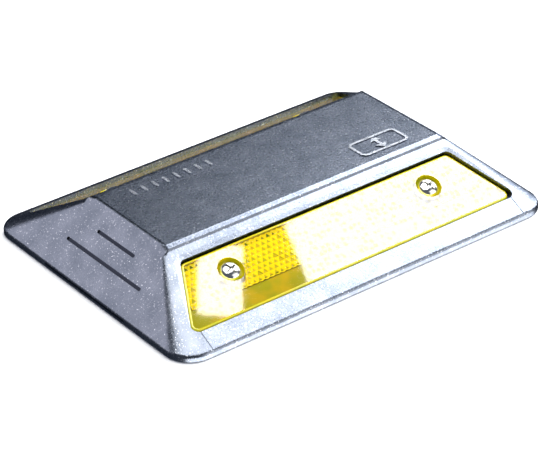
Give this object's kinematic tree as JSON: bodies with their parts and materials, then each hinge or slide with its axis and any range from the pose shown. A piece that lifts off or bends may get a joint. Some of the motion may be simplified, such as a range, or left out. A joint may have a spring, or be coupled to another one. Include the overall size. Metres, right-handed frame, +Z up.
{
  "type": "raised pavement marker",
  "caption": "Low four-sided cast metal road marker with a yellow prism lens screwed into its front and rear slopes, bonded flat to the road.",
  "frame": {"origin": "centre of the flat bonding face, on the road surface", "axes": "+X along the long side, across the traffic; +Y along the traffic, towards the rear lens; +Z up from the road"},
  "size_m": [0.15, 0.1106, 0.0212],
  "materials": {
    "cast_body": "as-cast aluminium alloy, blasted skin with bright specks, slopes lightly dressed",
    "lens": "clear yellow moulded acrylic with cube-corner prisms behind a polished face",
    "backplate": "moulded ABS, welded to the lens",
    "gasket": "die-cut closed-cell EPDM",
    "screw": "polished stainless steel, cold-headed"
  },
  "bodies": {
    "root": {"body_casting": "cast_body", "front_reflector_lens": "lens", "rear_reflector_lens": "lens", "front_backplate": "backplate", "rear_backplate": "backplate", "front_gasket": "gasket", "rear_gasket": "gasket", "front_left_screw": "screw", "front_right_screw": "screw", "rear_left_screw": "screw", "rear_right_screw": "screw"}
  },
  "joints": []
}
